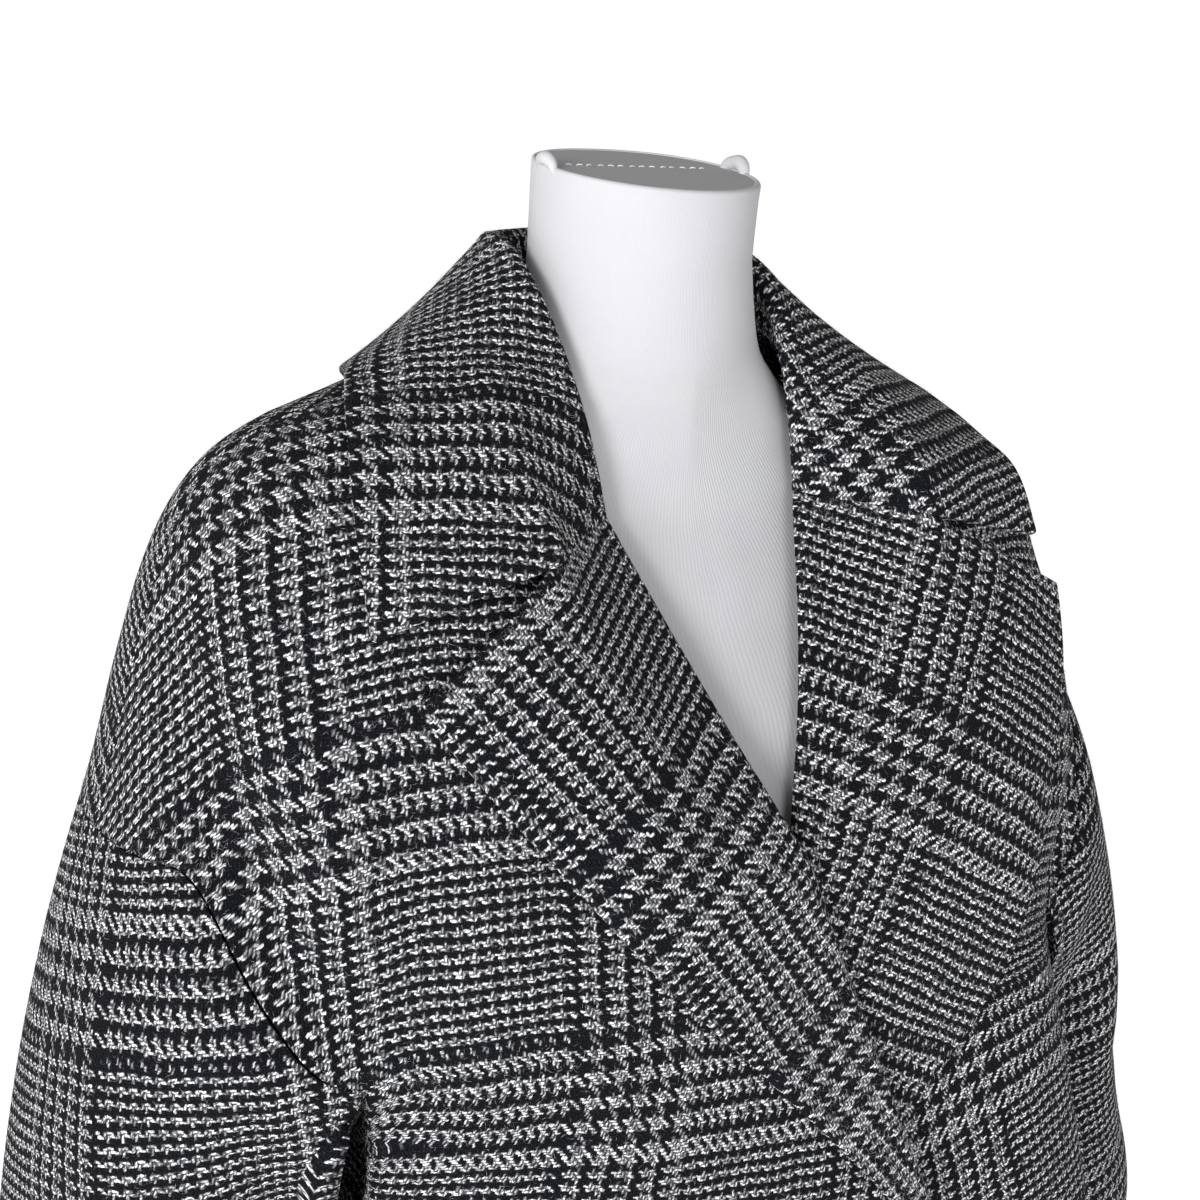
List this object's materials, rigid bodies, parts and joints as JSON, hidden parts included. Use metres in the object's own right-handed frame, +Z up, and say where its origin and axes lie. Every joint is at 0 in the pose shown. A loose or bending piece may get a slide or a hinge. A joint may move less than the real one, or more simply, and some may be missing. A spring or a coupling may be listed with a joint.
{
  "type": "wool coat on a dress form",
  "caption": "Oversized double-breasted wool coat with dropped shoulders, a wide notched collar and long lapels, open at the neck on a padded dress form with a pole and a round foot.",
  "frame": {"origin": "on the floor at the centre of the underside of the stand's foot", "axes": "+Z up, the coat's front faces -Y, the wearer's right is -X"},
  "size_m": [0.748, 0.3614, 1.5066],
  "materials": {
    "wool_check": "coarse brushed wool in a black and off-white glen check",
    "black_button": "satin black",
    "white_jersey": "white cotton jersey stretched over padding",
    "white_steel": "white powder coat"
  },
  "bodies": {
    "root": {"front_right": "wool_check", "front_left": "wool_check", "back": "wool_check", "sleeve_right": "wool_check", "sleeve_left": "wool_check", "collar": "wool_check", "lapel_right": "wool_check", "lapel_left": "wool_check", "button_1": "black_button", "button_2": "black_button", "button_3": "black_button", "button_4": "black_button", "dress_form": "white_jersey", "stand_pole": "white_steel", "stand_base": "white_steel"}
  },
  "joints": []
}
